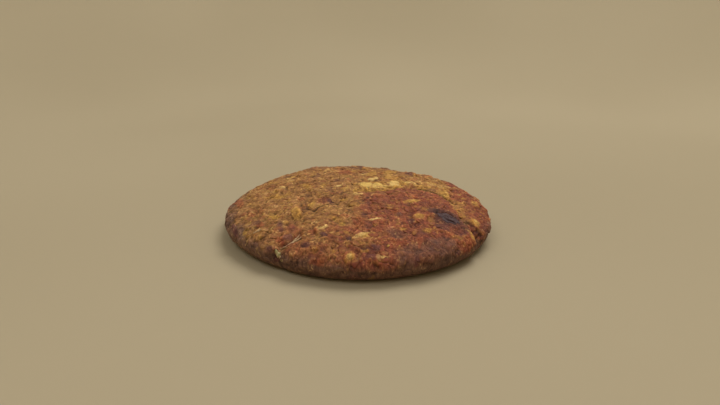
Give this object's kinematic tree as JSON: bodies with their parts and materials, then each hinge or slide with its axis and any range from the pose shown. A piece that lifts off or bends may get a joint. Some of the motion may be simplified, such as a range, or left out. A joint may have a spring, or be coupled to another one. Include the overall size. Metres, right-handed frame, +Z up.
{
  "type": "oatmeal cookie",
  "caption": "Round domed oatmeal cookie with oat flakes baked into a browned, cracked crust and a raisin in a fold at its rim.",
  "frame": {"origin": "middle of the underside's flat, on the surface that the cookie lies on", "axes": "+Z up out of the domed top; -Y towards the side that the picture was taken from; +X to the right as seen from there, with the raisin in the quarter between +X and -Y"},
  "size_m": [0.0881, 0.0932, 0.0152],
  "materials": {
    "dough": "matte",
    "raisin": "satin"
  },
  "bodies": {
    "root": {"cookie": "dough", "raisin": "raisin"}
  },
  "joints": []
}
